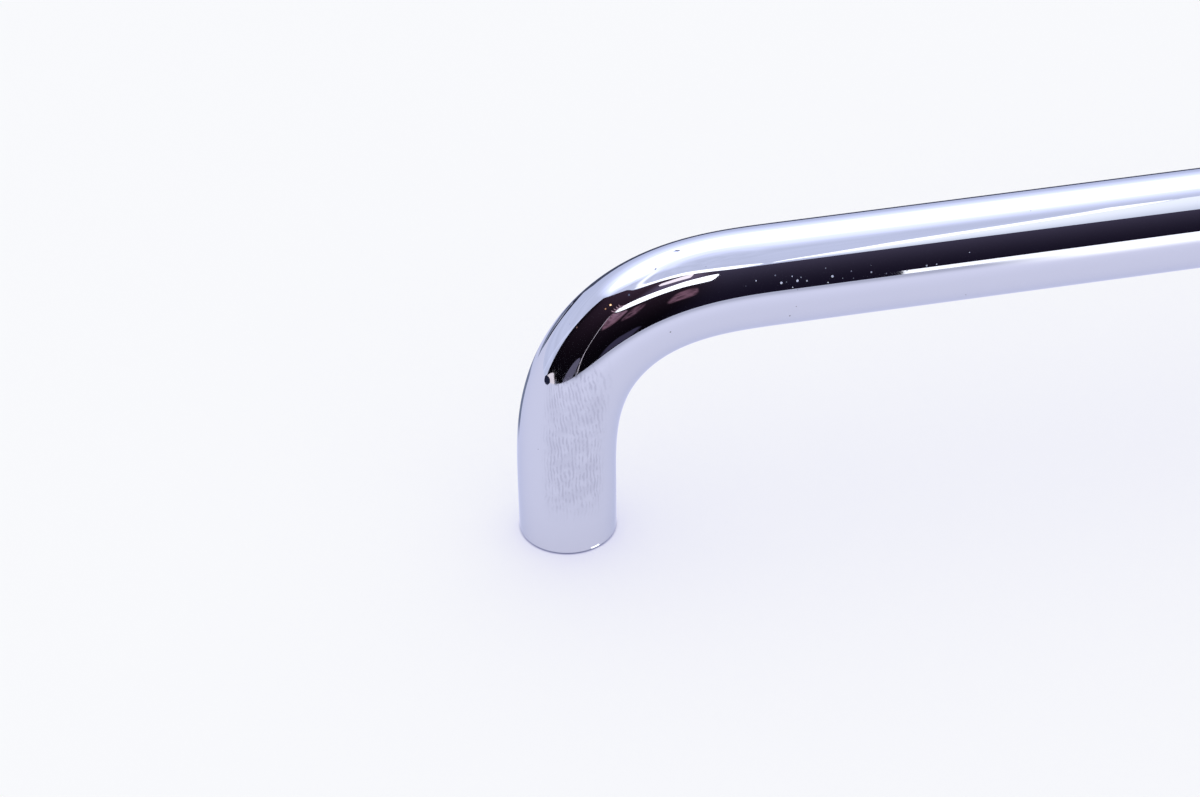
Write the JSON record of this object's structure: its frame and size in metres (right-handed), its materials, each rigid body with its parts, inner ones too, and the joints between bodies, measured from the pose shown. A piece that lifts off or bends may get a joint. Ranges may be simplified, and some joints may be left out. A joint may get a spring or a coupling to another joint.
{
  "type": "bridge pull handle",
  "caption": "D-shaped bridge pull handle bent from one length of polished round bar, with a blind tapped screw hole in each flat foot.",
  "frame": {"origin": "on the mounting plane, midway between the two screw holes", "axes": "+X along the grip, +Z away from the panel that the handle is screwed to, +Y across the grip"},
  "size_m": [0.138, 0.01, 0.0325],
  "materials": {
    "polished_chrome": "mirror-polished chrome plate on solid steel round bar"
  },
  "bodies": {
    "root": {"handle_bar": "polished_chrome"}
  },
  "joints": []
}
